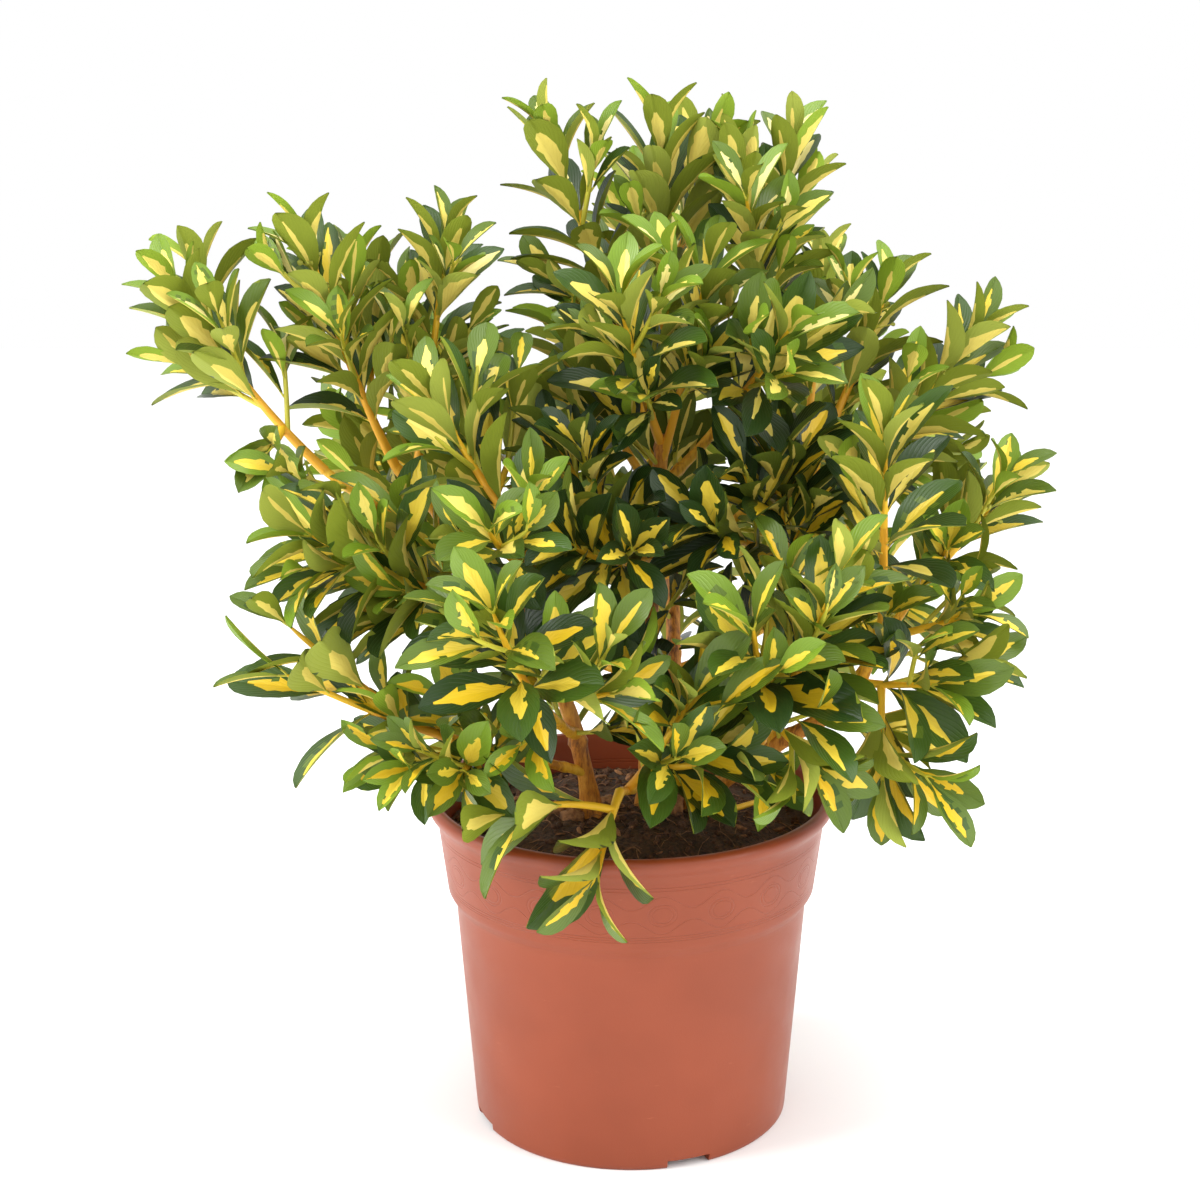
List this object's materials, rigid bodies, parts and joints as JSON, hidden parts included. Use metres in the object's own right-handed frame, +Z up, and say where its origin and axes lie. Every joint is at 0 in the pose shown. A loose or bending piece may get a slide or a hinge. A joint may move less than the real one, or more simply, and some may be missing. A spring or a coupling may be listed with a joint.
{
  "type": "potted japanese spindle shrub",
  "caption": "Bushy evergreen shrub with gold-hearted green leaves on upright branching stems, in a round tapered plastic pot with a deep collar and rolled lip.",
  "frame": {"origin": "centre of the pot's flat underside, on the pot's axis", "axes": "+Z up along the pot's axis; the plant's front, as it is shown for sale, faces -Y; +X to the viewer's right"},
  "size_m": [0.522, 0.4416, 0.6061],
  "materials": {
    "pot_plastic": "satin moulded plastic, terracotta colour",
    "potting_soil": "dark fibrous potting soil",
    "stem_bark": "yellow-brown bark with darker nodes",
    "bough_bark": "smooth yellow-green young bark",
    "foliage": "waxy leaves, dark green margin and gold to cream heart"
  },
  "bodies": {
    "root": {"bough_back_left": "bough_bark", "bough_back_mid": "bough_bark", "bough_back_right": "bough_bark", "bough_crest": "bough_bark", "bough_front_left": "bough_bark", "bough_front_low": "bough_bark", "bough_front_right": "bough_bark", "bough_left_far": "bough_bark", "bough_left_high": "bough_bark", "bough_left_mid": "bough_bark", "bough_low_back_left": "bough_bark", "bough_low_back_right": "bough_bark", "bough_low_left": "bough_bark", "bough_right_high": "bough_bark", "bough_right_out": "bough_bark", "bough_right_plume": "bough_bark", "bough_shoulder": "bough_bark", "leaves_back_high": "foliage", "leaves_back_left_high": "foliage", "leaves_back_left_low": "foliage", "leaves_back_left_out": "foliage", "leaves_back_out": "foliage", "leaves_back_right_high": "foliage", "leaves_back_right_low": "foliage", "leaves_back_right_out": "foliage", "leaves_centre": "foliage", "leaves_centre_back": "foliage", "leaves_centre_front": "foliage", "leaves_centre_left": "foliage", "leaves_crest": "foliage", "leaves_crest_left": "foliage", "leaves_crest_right": "foliage", "leaves_front_drooping": "foliage", "leaves_front_left": "foliage", "leaves_front_low": "foliage", "leaves_front_right": "foliage", "leaves_front_right_high": "foliage", "leaves_inner_right": "foliage", "leaves_left_bright": "foliage", "leaves_left_far": "foliage", "leaves_left_hanging": "foliage", "leaves_left_high": "foliage", "leaves_left_inner": "foliage", "leaves_left_low": "foliage", "leaves_left_mid": "foliage", "leaves_low_left": "foliage", "leaves_right_far": "foliage", "leaves_right_hanging": "foliage", "leaves_right_inner": "foliage", "leaves_right_out": "foliage", "leaves_right_plume": "foliage", "leaves_right_shoulder": "foliage", "leaves_right_tip": "foliage", "pot": "pot_plastic", "soil": "potting_soil", "trunk_back": "stem_bark", "trunk_centre": "stem_bark", "trunk_left": "stem_bark", "trunk_right": "stem_bark"}
  },
  "joints": []
}
